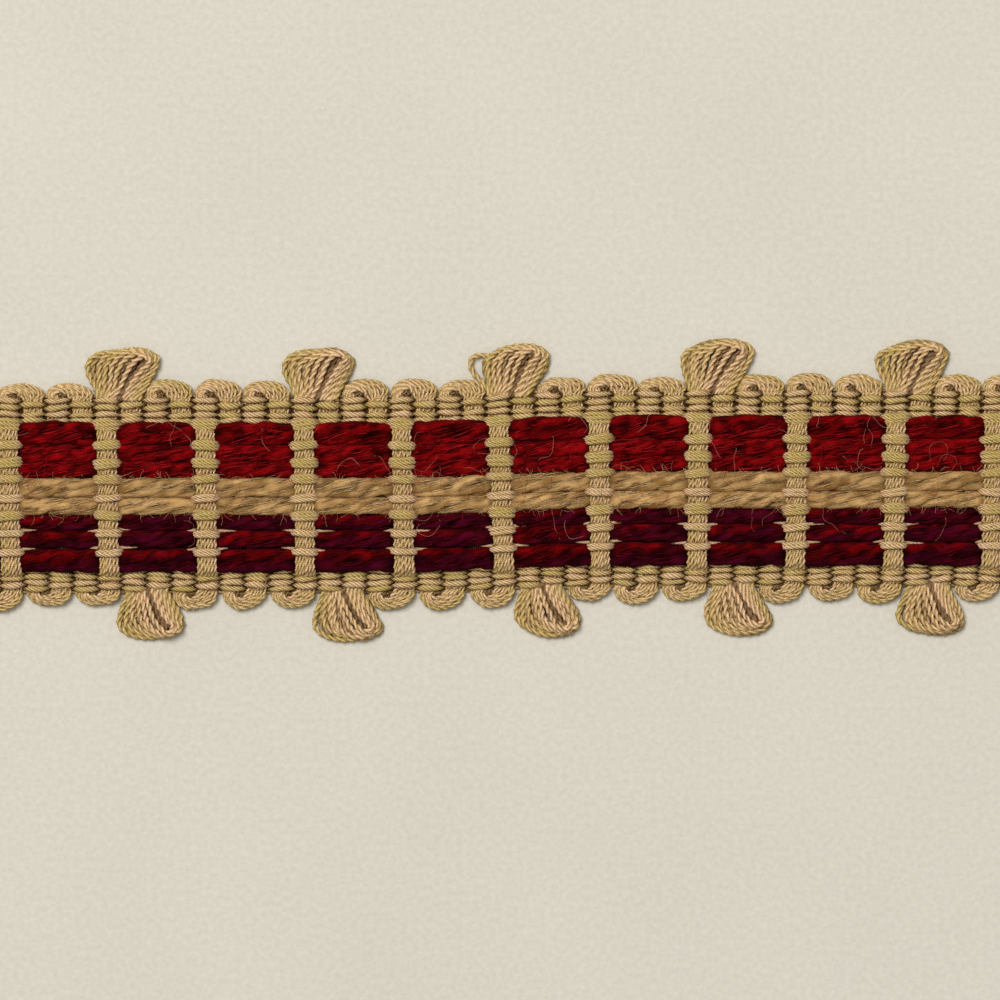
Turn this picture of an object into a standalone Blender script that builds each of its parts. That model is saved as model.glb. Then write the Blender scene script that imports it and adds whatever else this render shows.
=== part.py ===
"""Braid trim, a cut length that lies flat: a woven ground band with raised cross ribs, eight thick wool
warps that run under the ribs, and two selvedges whose weft loops make scallops and fans.

The band is laid out first on a straight frame in millimetres: u runs along it and v across it. lie() then
gives it the shallow S and the slight curve in which it lies. +X runs along the trim, +Y across it and +Z up.
"""
import math

import bmesh
import bpy
from mathutils import Vector

MM = 0.001

# Repeat of the weave
RIB_PITCH = 9.83
PICKS_PER_RIB = 4
PICK_PITCH = RIB_PITCH / PICKS_PER_RIB
LAST_PICK = 22
PICKS = range(-LAST_PICK, LAST_PICK + 1)
HALF_LENGTH = (LAST_PICK + 0.5) * PICK_PITCH
FAN_EVERY = 8

# Gap kept between pieces that touch
CLEAR = 0.3

# Ground band, measured across from the middle line
SHEET_THICK = 1.0
FIELD_TOP = 7.0
FIELD_FOOT = -7.9
GROUND_TOP = 8.8
GROUND_FOOT = -8.7
BORDER_THICK = 1.75
BORDER_SHOULDER = 1.35
BORDER_SLOPE = 0.15
PICK_RELIEF = 0.12

# Wool warps: puffed between two ribs and pinched under each of them
WOOL = [
    # name, place across, width, colour
    {"name": "wool_red_1", "v": 5.9, "width": 1.6, "slot": "wool_red"},
    {"name": "wool_red_2", "v": 4.03, "width": 1.4, "slot": "wool_red"},
    {"name": "wool_red_3", "v": 2.3, "width": 1.45, "slot": "wool_red"},
    {"name": "wool_tan_1", "v": 0.5, "width": 1.45, "slot": "wool_tan"},
    {"name": "wool_tan_2", "v": -1.2, "width": 1.35, "slot": "wool_tan"},
    {"name": "wool_maroon_1", "v": -2.93, "width": 1.45, "slot": "wool_maroon"},
    {"name": "wool_maroon_2", "v": -4.83, "width": 1.6, "slot": "wool_maroon"},
    {"name": "wool_maroon_3", "v": -6.8, "width": 1.65, "slot": "wool_maroon"},
]
WOOL_FLOOR = SHEET_THICK + CLEAR
WOOL_HEIGHT = 1.5
PINCH_WIDTH = 0.7
PINCH_HEIGHT = 0.7
PINCH_REACH = 1.6
PUFF_REACH = 3.0
WOOL_SIDES = 5
WOOL_FIRST_TURN = 18

# Cross ribs: a bead wherever ground warps cross over the rib, a neck between two beads
RIB_BEADS = (8.3, 6.95, 4.85, 3.2, 1.4, -0.4, -2.0, -3.85, -5.8, -8.1)
RIB_SOFFIT = WOOL_FLOOR + PINCH_HEIGHT + CLEAR
RIB_TOP = 2.85
RIB_TOP_BORDER = 1.95
BEAD_RISE = 0.18
BEAD_HALF = 1.5
NECK_HALF = 0.95
RIB_ROOT = 0.7
RIB_BODY = 0.75
WAIST_DROP = 0.45
FOOT_SHARE = 0.8
CROWN_SHARE = 0.55
LEG_SLOPE = 0.3
LEG_SWELL = 0.6
RIB_END_INSET = 0.06

# Selvedge strips and the weft loops that turn round in them
STRIP_HEIGHT = 1.7
SCALLOP_RADIUS = 0.8
SCALLOP_HALF_WIDTH = 1.35
SCALLOP_STEPS = 5
LOOPS_PER_FAN = 6
STRAND_RADIUS = 0.3
LOOP_STEPS = 6
LOOP_ROOT_HALF = 0.34
SELVEDGES = [
    # side is +1 for the upper edge; the strip runs from inner to outer, loops reach to scallop and fan
    {"name": "selvedge_upper", "side": 1, "inner": 9.1, "outer": 9.75, "scallop": 11.6, "fan": 14.65,
     "first_turn": 0, "fan_pick": 0, "lean": 0.42, "root_step": 0.5, "angle_step": 13.0, "puff": 0.55},
    {"name": "selvedge_lower", "side": -1, "inner": 9.0, "outer": 9.7, "scallop": 11.9, "fan": 14.65,
     "first_turn": 1, "fan_pick": 1, "lean": 0.46, "root_step": 0.42, "angle_step": 10.0, "puff": 0.45},
]
ROOT_DEPTH = 0.35
LOOP_LIFT = 0.04
OUTER_LOOP_SHORT = 0.5

# How the trim lies: it steps sideways a little near its middle and its lower edge is drawn in
STEP_SIDEWAYS = 0.65
STEP_LENGTH = 26.0
EDGE_DRAW_IN = 0.0005

COLOURS = {
    "ground_thread": (0.50, 0.37, 0.20),
    "wool_red": (0.36, 0.006, 0.012),
    "wool_tan": (0.42, 0.27, 0.13),
    "wool_maroon": (0.13, 0.004, 0.015),
}


def lie(u, v, z):
    """Point of the lying trim, in metres, for a place on the straight frame in millimetres."""
    t = max(-1.0, min(1.0, 2.0 * u / STEP_LENGTH))
    rise = STEP_SIDEWAYS * 0.25 * (3.0 * t - t ** 3)
    slope = STEP_SIDEWAYS * 0.25 * (3.0 - 3.0 * t * t) * 2.0 / STEP_LENGTH
    x = u * (1.0 + EDGE_DRAW_IN * v) - slope * v
    return Vector((x, v + rise, z)) * MM


def clear_scene():
    for item in list(bpy.data.objects):
        bpy.data.objects.remove(item, do_unlink=True)


def new_collection(name):
    made = bpy.data.collections.new(name)
    bpy.context.scene.collection.children.link(made)
    return made


def material(slot):
    """Matte yarn in one colour."""
    made = bpy.data.materials.get(slot)
    if made is None:
        made = bpy.data.materials.new(slot)
        made.use_nodes = True
        shader = made.node_tree.nodes["Principled BSDF"]
        shader.inputs["Base Color"].default_value = (*COLOURS[slot], 1.0)
        shader.inputs["Roughness"].default_value = 0.9
        shader.inputs["Metallic"].default_value = 0.0
    return made


def add_mesh_object(name, bm, collection, slot):
    """Turn a bmesh into an object with outward faces and one yarn material."""
    bmesh.ops.recalc_face_normals(bm, faces=bm.faces)
    mesh = bpy.data.meshes.new(name)
    bm.to_mesh(mesh)
    bm.free()
    mesh.materials.append(material(slot))
    mesh.shade_smooth()
    mesh.set_sharp_from_angle(angle=math.radians(50))
    made = bpy.data.objects.new(name, mesh)
    collection.objects.link(made)
    return made


def loft(name, sections, collection, slot):
    """Closed solid through a row of sections, each a ring of the same number of (u, v, z) points."""
    bm = bmesh.new()
    rings = [[bm.verts.new(lie(*point)) for point in section] for section in sections]
    for ring, following in zip(rings, rings[1:]):
        for k in range(len(ring)):
            after = (k + 1) % len(ring)
            bm.faces.new((ring[k], ring[after], following[after], following[k]))
    bm.faces.new(rings[0][::-1])
    bm.faces.new(rings[-1])
    return add_mesh_object(name, bm, collection, slot)


def as_joined_shape(item):
    """Mark an object as one that is only joined into another."""
    item.hide_render = True
    item.display_type = "WIRE"


def join_shapes(target, shapes):
    """Unite the target with every shape of a collection."""
    union = target.modifiers.new("join", "BOOLEAN")
    union.operation = "UNION"
    union.solver = "EXACT"
    union.operand_type = "COLLECTION"
    union.collection = shapes
    union.use_self = True


def sheet_rows():
    """Height of the ground band at each place across it, and how much its picks stand up there."""
    top_mid = (FIELD_TOP + GROUND_TOP) / 2
    foot_mid = (FIELD_FOOT + GROUND_FOOT) / 2
    return [
        # place across, height, pick relief
        (GROUND_FOOT, BORDER_SHOULDER, 0.0),
        (foot_mid, BORDER_THICK, 1.0),
        (FIELD_FOOT, BORDER_SHOULDER, 0.5),
        (FIELD_FOOT + BORDER_SLOPE, SHEET_THICK, 0.0),
        (FIELD_TOP - BORDER_SLOPE, SHEET_THICK, 0.0),
        (FIELD_TOP, BORDER_SHOULDER, 0.5),
        (top_mid, BORDER_THICK, 1.0),
        (GROUND_TOP, BORDER_SHOULDER, 0.0),
    ]


def make_ground(collection, ribs):
    """The ground sheet: a grid over its picks, pulled down to a flat back, with the ribs joined on."""
    rows = sheet_rows()
    steps = 2 * len(PICKS)
    bm = bmesh.new()
    bmesh.ops.create_grid(bm, x_segments=steps, y_segments=len(rows) - 1, size=0.5)
    for vert in bm.verts:
        step = round((vert.co.x + 0.5) * steps)
        v, height, relief = rows[round((vert.co.y + 0.5) * (len(rows) - 1))]
        u = -HALF_LENGTH + step * PICK_PITCH / 2
        on_pick = 1.0 if step % 2 else -1.0
        vert.co = lie(u, v, height + PICK_RELIEF * relief * on_pick)
    pulled = bmesh.ops.extrude_face_region(bm, geom=bm.faces[:])
    for item in pulled["geom"]:
        if isinstance(item, bmesh.types.BMVert):
            item.co.z = 0.0
    bmesh.ops.dissolve_limit(bm, angle_limit=math.radians(0.1), use_dissolve_boundaries=False,
                             verts=[v for v in bm.verts if v.co.z == 0.0],
                             edges=[e for e in bm.edges if all(v.co.z == 0.0 for v in e.verts)],
                             delimit=set())
    ground = add_mesh_object("ground_band", bm, collection, "ground_thread")
    join_shapes(ground, ribs)
    return ground


def rib_stations():
    """Places across the band where the rib's section changes, each with a 1 at a bead and a 0 at a neck."""
    stations = [(GROUND_TOP - RIB_END_INSET, 0.0)]
    for bead, following in zip(RIB_BEADS, RIB_BEADS[1:]):
        stations.append((bead, 1.0))
        stations.append(((bead + following) / 2, 0.0))
    stations.append((RIB_BEADS[-1], 1.0))
    stations.append((GROUND_FOOT + RIB_END_INSET, 0.0))
    stations.append((FIELD_TOP - LEG_SLOPE, LEG_SWELL))
    stations.append((FIELD_FOOT + LEG_SLOPE, LEG_SWELL))
    return sorted(stations, reverse=True)


def over_field(v):
    """1 over the wool, 0 on the borders, with a slope between them."""
    inside = min(FIELD_TOP - v, v - FIELD_FOOT) + LEG_SLOPE
    return max(0.0, min(1.0, inside / (2 * LEG_SLOPE)))


def make_rib(number, collection):
    """One pick that comes to the face: a beaded bar that stands on both borders and bridges the wool."""
    middle = number * RIB_PITCH
    sections = []
    for v, bead in rib_stations():
        half = NECK_HALF + (BEAD_HALF - NECK_HALF) * bead
        crown = RIB_TOP_BORDER + (RIB_TOP - RIB_TOP_BORDER) * over_field(v) + BEAD_RISE * bead
        clears_wool = FIELD_FOOT + LEG_SLOPE <= v <= FIELD_TOP - LEG_SLOPE
        foot = RIB_SOFFIT if clears_wool else RIB_ROOT
        waist = crown - WAIST_DROP * min(crown - foot, RIB_BODY)
        sections.append([
            (middle - FOOT_SHARE * half, v, foot),
            (middle + FOOT_SHARE * half, v, foot),
            (middle + half, v, waist),
            (middle + CROWN_SHARE * half, v, crown),
            (middle - CROWN_SHARE * half, v, crown),
            (middle - half, v, waist),
        ])
    rib = loft(f"rib_at_pick_{PICKS_PER_RIB * number}", sections, collection, "ground_thread")
    as_joined_shape(rib)


def wool_stations():
    """Places along a wool warp with a 1 where it is puffed and a 0 where a rib pinches it."""
    stations = [(-HALF_LENGTH, 1.0)]
    last_rib = LAST_PICK // PICKS_PER_RIB
    for number in range(-last_rib, last_rib + 1):
        rib = number * RIB_PITCH
        stations += [(rib - PUFF_REACH, 1.0), (rib - PINCH_REACH, 0.0),
                     (rib + PINCH_REACH, 0.0), (rib + PUFF_REACH, 1.0)]
    stations.append((HALF_LENGTH, 1.0))
    return stations


def make_wool(row, collection):
    """One wool warp: a rope of few sides that swells between the ribs."""
    turns = [math.radians(WOOL_FIRST_TURN + 360 * k / WOOL_SIDES) for k in range(WOOL_SIDES)]
    low, high = min(map(math.sin, turns)), max(map(math.sin, turns))
    wide = max(abs(math.cos(turn)) for turn in turns)
    sections = []
    for u, puff in wool_stations():
        half = 0.5 * row["width"] * (PINCH_WIDTH + (1.0 - PINCH_WIDTH) * puff)
        height = PINCH_HEIGHT + (WOOL_HEIGHT - PINCH_HEIGHT) * puff
        sections.append([
            (u, row["v"] + half * math.cos(turn) / wide,
             WOOL_FLOOR + height * (math.sin(turn) - low) / (high - low))
            for turn in turns
        ])
    return loft(row["name"], sections, collection, row["slot"])


def make_strands(name, paths, radius, sides_setting, collection):
    """Round strands along several paths, made with a bevelled curve and turned into one mesh."""
    curve = bpy.data.curves.new(name, "CURVE")
    curve.dimensions = "3D"
    curve.twist_mode = "Z_UP"
    curve.bevel_depth = radius * MM
    curve.bevel_resolution = sides_setting
    curve.use_fill_caps = True
    for path in paths:
        spline = curve.splines.new("POLY")
        spline.points.add(len(path) - 1)
        for point, place in zip(spline.points, path):
            point.co = (*lie(*place), 1.0)
    guide = bpy.data.objects.new(name + "_guide", curve)
    collection.objects.link(guide)
    evaluated = guide.evaluated_get(bpy.context.evaluated_depsgraph_get())
    mesh = bpy.data.meshes.new_from_object(evaluated)
    bpy.data.objects.remove(guide, do_unlink=True)
    bm = bmesh.new()
    bm.from_mesh(mesh)
    bpy.data.meshes.remove(mesh)
    bmesh.ops.remove_doubles(bm, verts=bm.verts, dist=0.00001)
    strands = add_mesh_object(name, bm, collection, "ground_thread")
    as_joined_shape(strands)


def scallop_path(edge, middle):
    """A tight turn of the weft from one pick to the next: half an ellipse that starts inside the strip."""
    root = edge["outer"] - ROOT_DEPTH
    rise = edge["scallop"] - SCALLOP_RADIUS - root
    path = []
    for step in range(SCALLOP_STEPS + 1):
        turn = math.pi * step / SCALLOP_STEPS
        path.append((middle - SCALLOP_HALF_WIDTH * math.cos(turn),
                     edge["side"] * (root + rise * math.sin(turn)), SCALLOP_RADIUS + LOOP_LIFT))
    return path


def fan_paths(edge, middle):
    """The long loops of one fan, each a petal that leaves the strip, turns round at its tip and comes back.

    Loops lie in two layers, every other one on top. Along a petal of length L and half-width w the place
    is L sin(s) outwards and w sin(2s) to the side, for s from 0 to half a turn, opened at its root.
    """
    root = edge["outer"] - ROOT_DEPTH
    paths = []
    for number in range(LOOPS_PER_FAN):
        off_middle = number - (LOOPS_PER_FAN - 1) / 2
        angle = math.radians(edge["angle_step"]) * off_middle
        start = middle + edge["root_step"] * off_middle
        reach = edge["fan"] - STRAND_RADIUS - root
        short = OUTER_LOOP_SHORT * abs(off_middle) / ((LOOPS_PER_FAN - 1) / 2)
        length = reach - short
        height = LOOP_LIFT + STRAND_RADIUS + (number % 2) * (2 * STRAND_RADIUS + CLEAR)
        path = []
        for step in range(LOOP_STEPS + 1):
            turn = math.pi * step / LOOP_STEPS
            out = length * math.sin(turn)
            aside = -LOOP_ROOT_HALF * math.cos(turn) - edge["puff"] * math.sin(2 * turn)
            path.append((start + out * math.sin(angle) + aside * math.cos(angle),
                         edge["side"] * (root + out * math.cos(angle) - aside * math.sin(angle)), height))
        paths.append(path)
    return paths


def make_selvedge(edge, collection):
    """The outermost warp as a narrow strip, with the scallops and fans of the weft fused into it."""
    shapes = new_collection(edge["name"] + "_shapes")
    scallops = []
    strands = []
    for pick in range(-LAST_PICK + edge["first_turn"], LAST_PICK, 2):
        middle = (pick + 0.5) * PICK_PITCH
        if (pick - edge["fan_pick"]) % FAN_EVERY == 0:
            strands += fan_paths(edge, middle + edge["lean"])
        else:
            scallops.append(scallop_path(edge, middle))
    make_strands(edge["name"] + "_scallops", scallops, SCALLOP_RADIUS, 1, shapes)
    make_strands(edge["name"] + "_fans", strands, STRAND_RADIUS, 0, shapes)
    sections = []
    for pick in range(-LAST_PICK, LAST_PICK + 1, 2):
        u = pick / LAST_PICK * HALF_LENGTH
        sections.append([(u, edge["side"] * edge["inner"], 0.0), (u, edge["side"] * edge["outer"], 0.0),
                         (u, edge["side"] * edge["outer"], STRIP_HEIGHT),
                         (u, edge["side"] * edge["inner"], STRIP_HEIGHT)])
    strip = loft(edge["name"], sections, collection, "ground_thread")
    join_shapes(strip, shapes)
    return strip


def main():
    clear_scene()
    trim = new_collection("braid_trim")
    ribs = new_collection("rib_shapes")
    last_rib = LAST_PICK // PICKS_PER_RIB
    for number in range(-last_rib, last_rib + 1):
        make_rib(number, ribs)
    make_ground(trim, ribs)
    for row in WOOL:
        make_wool(row, trim)
    for edge in SELVEDGES:
        make_selvedge(edge, trim)


main()
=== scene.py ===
"""Looks of the braid trim: every thread of its ground, selvedges and wool, with their finishes, on pale paper.

Places are worked out on the same straight frame as the part's source: u along the trim, v across it and
z up, in millimetres. lie() turns them into metres on the trim as it lies.
"""
import math

import bpy
import numpy as np
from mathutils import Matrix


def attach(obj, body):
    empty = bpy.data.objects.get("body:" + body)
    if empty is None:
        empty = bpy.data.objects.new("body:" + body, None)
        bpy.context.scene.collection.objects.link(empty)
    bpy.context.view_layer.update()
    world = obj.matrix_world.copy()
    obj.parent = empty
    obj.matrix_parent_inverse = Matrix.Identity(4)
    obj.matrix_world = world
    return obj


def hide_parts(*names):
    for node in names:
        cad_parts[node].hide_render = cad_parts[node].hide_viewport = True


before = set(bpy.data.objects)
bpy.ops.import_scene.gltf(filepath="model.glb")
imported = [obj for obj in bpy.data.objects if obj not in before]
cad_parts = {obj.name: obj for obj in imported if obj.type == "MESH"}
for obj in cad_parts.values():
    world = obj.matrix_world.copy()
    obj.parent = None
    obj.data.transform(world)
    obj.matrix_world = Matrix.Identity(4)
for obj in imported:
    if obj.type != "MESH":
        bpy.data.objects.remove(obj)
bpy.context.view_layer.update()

MM = 0.001
TURN = 2.0 * math.pi

# Repeat of the weave, as in the part's source
RIB_PITCH = 9.83
PICKS_PER_RIB = 4
PICK_PITCH = RIB_PITCH / PICKS_PER_RIB
LAST_PICK = 22
HALF_LENGTH = (LAST_PICK + 0.5) * PICK_PITCH
LAST_RIB = LAST_PICK // PICKS_PER_RIB
FAN_EVERY = 8
FIELD_TOP = 7.0
FIELD_FOOT = -7.9

# How the trim lies, as in the part's source
STEP_SIDEWAYS = 0.65
STEP_LENGTH = 26.0
EDGE_DRAW_IN = 0.0005

# Fine thread with a right-handed twist. Shares are the reach of a section's corners
THREAD_SECTION = (1.0, 0.74, 0.74, 1.0, 0.74, 0.74)
WARP_SECTION = (1.0, 0.93, 1.0, 0.93, 1.0, 0.93)
WARP_PLIES = 5
WARP_TURN = 2.3
WARP_RING = 0.2
WARP_HALF = 0.34
WEFT_TURN = 1.5
WEFT_RING = 0.21
PLAIN_SECTION = (1.0, 1.0, 1.0, 1.0, 1.0)
PLAIN_RING = 0.8
RIGHT_HANDED = 1.0
LEFT_HANDED = -1.0

# Bake map, in wall lengths: room at the end of each row, and the places and half-width of a thread's two ends
BAKE_ROOM = 2.5
BAKE_END_PLACES = (0.7, 1.8)
BAKE_END_HALF = 0.4

# Weft: six threads side by side in every pick
WEFT_THREADS = 6
WEFT_STEP = 0.33
WEFT_HALF = 0.255
WEFT_CROWN = 0.3
WEFT_WANDER = 0.025
WEFT_HUES = (0.75, 0.45, 0.62, 0.3, 0.4, 0.2)
PICK_HEIGHT = 1.0
RIB_HEIGHT = 2.33
RIB_SLOPE = 1.4
RIB_SLOPE_OUT = 0.85
BEAD_PRESS = 0.1
BEAD_PRESS_REACH = 0.45
FIELD_PICK_HEIGHT = 0.6
FIELD_INSET = 0.3
WEFT_ROOT = 9.6

# Warps that cross over the ribs between the wool: place across, hue from pink-beige 0 to olive 1, how many
# lie side by side, how wide they are together, and 1 where the tails show between the wool warps
RIB_BEADS = ((6.95, 0.85, 3, 1.22, 0), (4.85, 0.75, 3, 1.02, 0), (3.1, 0.9, 3, 1.22, 0), (1.5, 0.85, 3, 1.0, 0),
             (-0.45, 0.15, 2, 0.88, 0), (-2.1, 0.8, 3, 1.15, 0), (-3.95, 0.2, 2, 0.86, 1), (-5.8, 0.1, 2, 0.8, 1))
BEAD_HALF = 0.27
BEAD_CROWN = 0.07
BEAD_LIFT = 0.36
BEAD_LOW = 1.15
BEAD_REACH = 1.48
BEAD_END = 2.2
TAIL_START = 1.0
TAIL_LEFT = (0.7, 1.6)
TAIL_RIGHT = (1.1, 2.6)
TAIL_HEIGHT = 2.16
TAIL_RISE = 0.36
TAIL_HALF = 0.19

# Warps of the two borders: place across, 0 over even picks or 1 over odd picks, hue and size
UPPER_WARPS = ((9.38, 0, 0.3, 0.95), (8.93, 1, 0.85, 1.15), (8.66, 0, 0.65, 1.05), (7.98, 0, 0.25, 1.05),
               (7.9, 1, 0.7, 1.0), (7.36, 0, 0.3, 0.9), (7.34, 1, 0.6, 1.05))
LOWER_WARPS = ((-7.98, 0, 0.85, 1.0), (-8.46, 0, 0.75, 0.95), (-7.72, 1, 0.5, 0.8), (-8.22, 1, 0.6, 0.95),
               (-8.86, 1, 0.25, 1.0), (-9.12, 0, 0.25, 1.05), (-9.45, 1, 0.8, 0.95))
BEAD_VARIES = 0.15
WARP_MIDDLE = 0.96
WARP_SWING = 0.5
WARP_WANDER = 0.08
PRESS_DOWN = 0.08
PRESS_UP = 0.07
PRESS_REACH = 0.25

# Warps on the back of the field
BACK_WARPS = 17
BACK_WARP_HEIGHT = 0.22
BACK_WARP_HALF = 0.2
BORDER_BACK_WARPS = (9.8, 9.15, 8.3, 7.55, -8.2, -8.7, -9.3, -9.75)

# Loops of the weft at the selvedges. Each is drawn by the places of its outermost and its innermost thread,
# along from the middle of the turn and out from the root; the other four threads lie evenly between these two
LOOP_ROOT = 9.65
UPPER_SCALLOP_OUTER = ((-1.95, -0.35), (-2.05, 0.1), (-2.1, 0.65), (-1.7, 1.2), (-0.8, 1.55), (0.35, 1.58),
                       (1.4, 1.33), (2.1, 0.9), (2.25, 0.42), (2.05, 0.0), (1.95, -0.35))
UPPER_SCALLOP_INNER = ((-0.75, -0.35), (-1.15, 0.1), (-1.35, 0.45), (-1.15, 0.75), (-0.75, 0.85), (-0.35, 0.75),
                       (-0.08, 0.55), (0.0, 0.33), (0.15, 0.1), (0.45, -0.1), (0.5, -0.35))
LOWER_SCALLOP_OUTER = ((-2.0, -0.35), (-2.05, 0.1), (-2.1, 0.6), (-1.65, 1.3), (-0.75, 1.78), (0.35, 1.75),
                       (1.35, 1.35), (1.95, 0.7), (2.05, 0.2), (2.0, -0.05), (1.95, -0.35))
LOWER_SCALLOP_INNER = ((-0.75, -0.35), (-1.05, 0.1), (-1.15, 0.45), (-0.95, 0.78), (-0.5, 0.9), (-0.1, 0.8),
                       (0.15, 0.55), (0.3, 0.3), (0.4, 0.08), (0.5, -0.12), (0.5, -0.35))
FAN_OUTER = ((-2.0, -0.35), (-2.0, 0.1), (-2.4, 1.3), (-2.8, 2.6), (-2.75, 3.75), (-1.5, 4.6), (0.6, 4.95),
             (2.6, 4.75), (3.85, 3.95), (3.65, 2.75), (2.95, 1.5), (2.1, 0.1), (2.05, -0.35))
FAN_INNER = ((-0.4, -0.35), (-0.4, 0.1), (0.1, 1.0), (0.55, 2.1), (1.0, 3.1), (1.6, 3.95), (2.2, 4.4),
             (2.75, 4.35), (2.95, 3.8), (2.25, 2.9), (1.35, 1.6), (0.65, 0.1), (0.6, -0.35))
LOOSE_LOOP = ((-2.0, -0.35), (-2.05, 0.15), (-2.55, 1.2), (-3.3, 2.2), (-3.65, 3.05), (-3.2, 3.8), (-2.3, 4.05),
              (-1.6, 3.75), (-1.2, 2.9), (-0.9, 2.0), (-0.5, 1.0), (0.5, 0.1), (0.6, -0.35))
SELVEDGES = {
    "upper": {"side": 1.0, "first_turn": 0, "fan_pick": 0, "outer": UPPER_SCALLOP_OUTER,
              "inner": UPPER_SCALLOP_INNER, "stack": 0.15, "fan_width": 1.0, "node": "selvedge_upper"},
    "lower": {"side": -1.0, "first_turn": 1, "fan_pick": 1, "outer": LOWER_SCALLOP_OUTER,
              "inner": LOWER_SCALLOP_INNER, "stack": 0.12, "fan_width": 0.95, "node": "selvedge_lower"},
}
SCALLOP_HALF = 0.25
SCALLOP_UNDER = (0.5, 1.5, 2.5, 3.5, 4.5, 5.5, 6.5, 7.3)
LAYER_DROP = 0.3
LOWEST_LOOP = 0.3
FAN_HALF = 0.315
FAN_TURN = 1.1 * WEFT_TURN
UNDER_SPACING = 1.4
FAN_UNDER = (0.5, 1.2, 1.8, 2.5, 3.1, 3.7, 4.4, 5.0, 5.6, 6.3)

# Wool warps: node, place across, half-width, first angle of the plies
WOOL = (
    ("wool_red_1", 5.83, 1.1, 0.3), ("wool_red_2", 4.05, 0.92, 1.1), ("wool_red_3", 2.45, 0.9, 2.0),
    ("wool_tan_1", 0.64, 1.03, 0.7), ("wool_tan_2", -1.2, 0.9, 1.7),
    ("wool_maroon_1", -2.87, 0.86, 0.2), ("wool_maroon_2", -4.52, 0.94, 1.3), ("wool_maroon_3", -6.62, 1.17, 2.2),
)
WOOL_PLIES = 4
WOOL_PRESS = 1.07
WOOL_TURN = 12.0
WOOL_RING = 0.5
WOOL_SECTION = (1.0, 0.94, 1.04, 0.97, 1.03, 0.93, 1.02, 0.96, 1.05)
WOOL_MIDDLE = 1.72
WOOL_UNDER_RIB = 1.32
WOOL_TALL = 0.85
PINCH_WIDTH = 0.86
PINCH_HEIGHT = 0.5
PINCH_START = 0.55
PINCH_REACH = 1.25
# Painted shade on the wool by each rib: distance from the rib where it starts to fade, and over how far
RIB_SHADE = (1.12, 0.4)

# A ply gets painted shade where it turns in to the rope's middle and on the rope's flanks, where ropes meet: from
# which share of the rope's half-width, and over how much of it
CREASE_FROM = 0.54
CREASE_REACH = 0.4
FLANK_FROM = 0.68
FLANK_REACH = 0.3
FLANK_SHADE = 0.75

# The uppermost red warp bows up and swells between the ribs
RED_DOME = 0.25
RED_SWELL = 0.12

# Where a maroon warp turns from purple to red, above the warp's middle, for each place across
PURPLE_FROM = {-2.87: 0.35, -4.52: 0.1, -6.62: -0.02}

# Fibres: those that lie on the wool, loose hairs, and the fuzz along the edges of the tan wool
FIBRE_SECTION = (1.0, 1.0, 1.0)
FIBRE_TURN = 5.0
SURFACE_FIBRE_HALF = 0.032
SURFACE_FIBRE_STEP = 0.9
HAIR_HALF = 0.014
HAIR_STEP = 0.12
FUZZ_HALF = 0.009
FUZZ_STEP = 0.16
FUZZ_COUNT = 420
FUZZ_ROWS = ((1.1, 1.7), (-2.1, -1.6))
HIGHEST_HAIR = 2.95

# Camera: straight down, 100 mm across the picture at the trim's height
CAMERA_HEIGHT = 0.6015
CAMERA_LENS = 216.0
PICTURE_MIDDLE = (-0.00012, -0.0009)

# Dyes and painted shades, as linear albedo
PINK_BEIGE = (0.93, 0.645, 0.39)
OLIVE_BEIGE = (0.67, 0.52, 0.185)
# Painted shade in the groove between a thread's two plies
THREAD_SHADE = (0.38, 0.175, 0.025)
# Painted shade where a thread lies deep among the others
DEEP_SHADE = (0.10, 0.036, 0.003)
# The ground cloth: beige in painted shade, and deeper painted shade between its fine ribs
CLOTH_BEIGE_IN_PAINTED_SHADE = (0.09, 0.04, 0.008)
CLOTH_SHADE = (0.02, 0.008, 0.002)
RED_DARK = (0.045, 0.0002, 0.0003)
RED_BRIGHT = (0.42, 0.003, 0.005)
TAN_DARK = (0.34, 0.174, 0.047)
TAN_BRIGHT = (0.78, 0.475, 0.187)
MAROON_DARK = (0.042, 0.0002, 0.0003)
MAROON_BRIGHT = (0.30, 0.0015, 0.002)
PURPLE_DARK = (0.018, 0.0003, 0.0018)
PURPLE_BRIGHT = (0.10, 0.002, 0.019)
RED_HAIR = ((0.14, 0.0008, 0.0012), (0.62, 0.014, 0.02))
TAN_HAIR = ((0.42, 0.24, 0.08), (0.92, 0.64, 0.33))
MAROON_HAIR = ((0.04, 0.0005, 0.002), (0.21, 0.004, 0.012))
PALE_HAIR = ((0.45, 0.09, 0.06), (0.80, 0.38, 0.28))
PAPER_LOW = (0.63, 0.59, 0.50)
PAPER_HIGH = (0.92, 0.87, 0.75)

# Each wool's tint of sheen, contrast between its fibres and strength of the painted shade in its creases
RED_LOOK = ((1.0, 0.1, 0.1), 2.8, 0.93)
TAN_LOOK = ((1.0, 0.8, 0.6), 1.4, 0.6)
MAROON_LOOK = ((1.0, 0.1, 0.15), 2.8, 0.93)

# Light
KEY_POWER = 16.0
KEY_PLACE = (-0.4, 0.5, 1.4)
KEY_WIDTH = 0.7
SKY_COLOUR = (1.0, 0.99, 0.97)
SKY_STRENGTH = 0.33
PAPER_REACH = 0.6


def smooth(x):
    """3x^2 - 2x^3 with x held between 0 and 1."""
    x = np.clip(x, 0.0, 1.0)
    return x * x * (3.0 - 2.0 * x)


def hump(x, middle, reach):
    """A bell: e to the minus square of the distance from the middle over the reach."""
    return np.exp(-((x - middle) / reach) ** 2)


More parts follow.
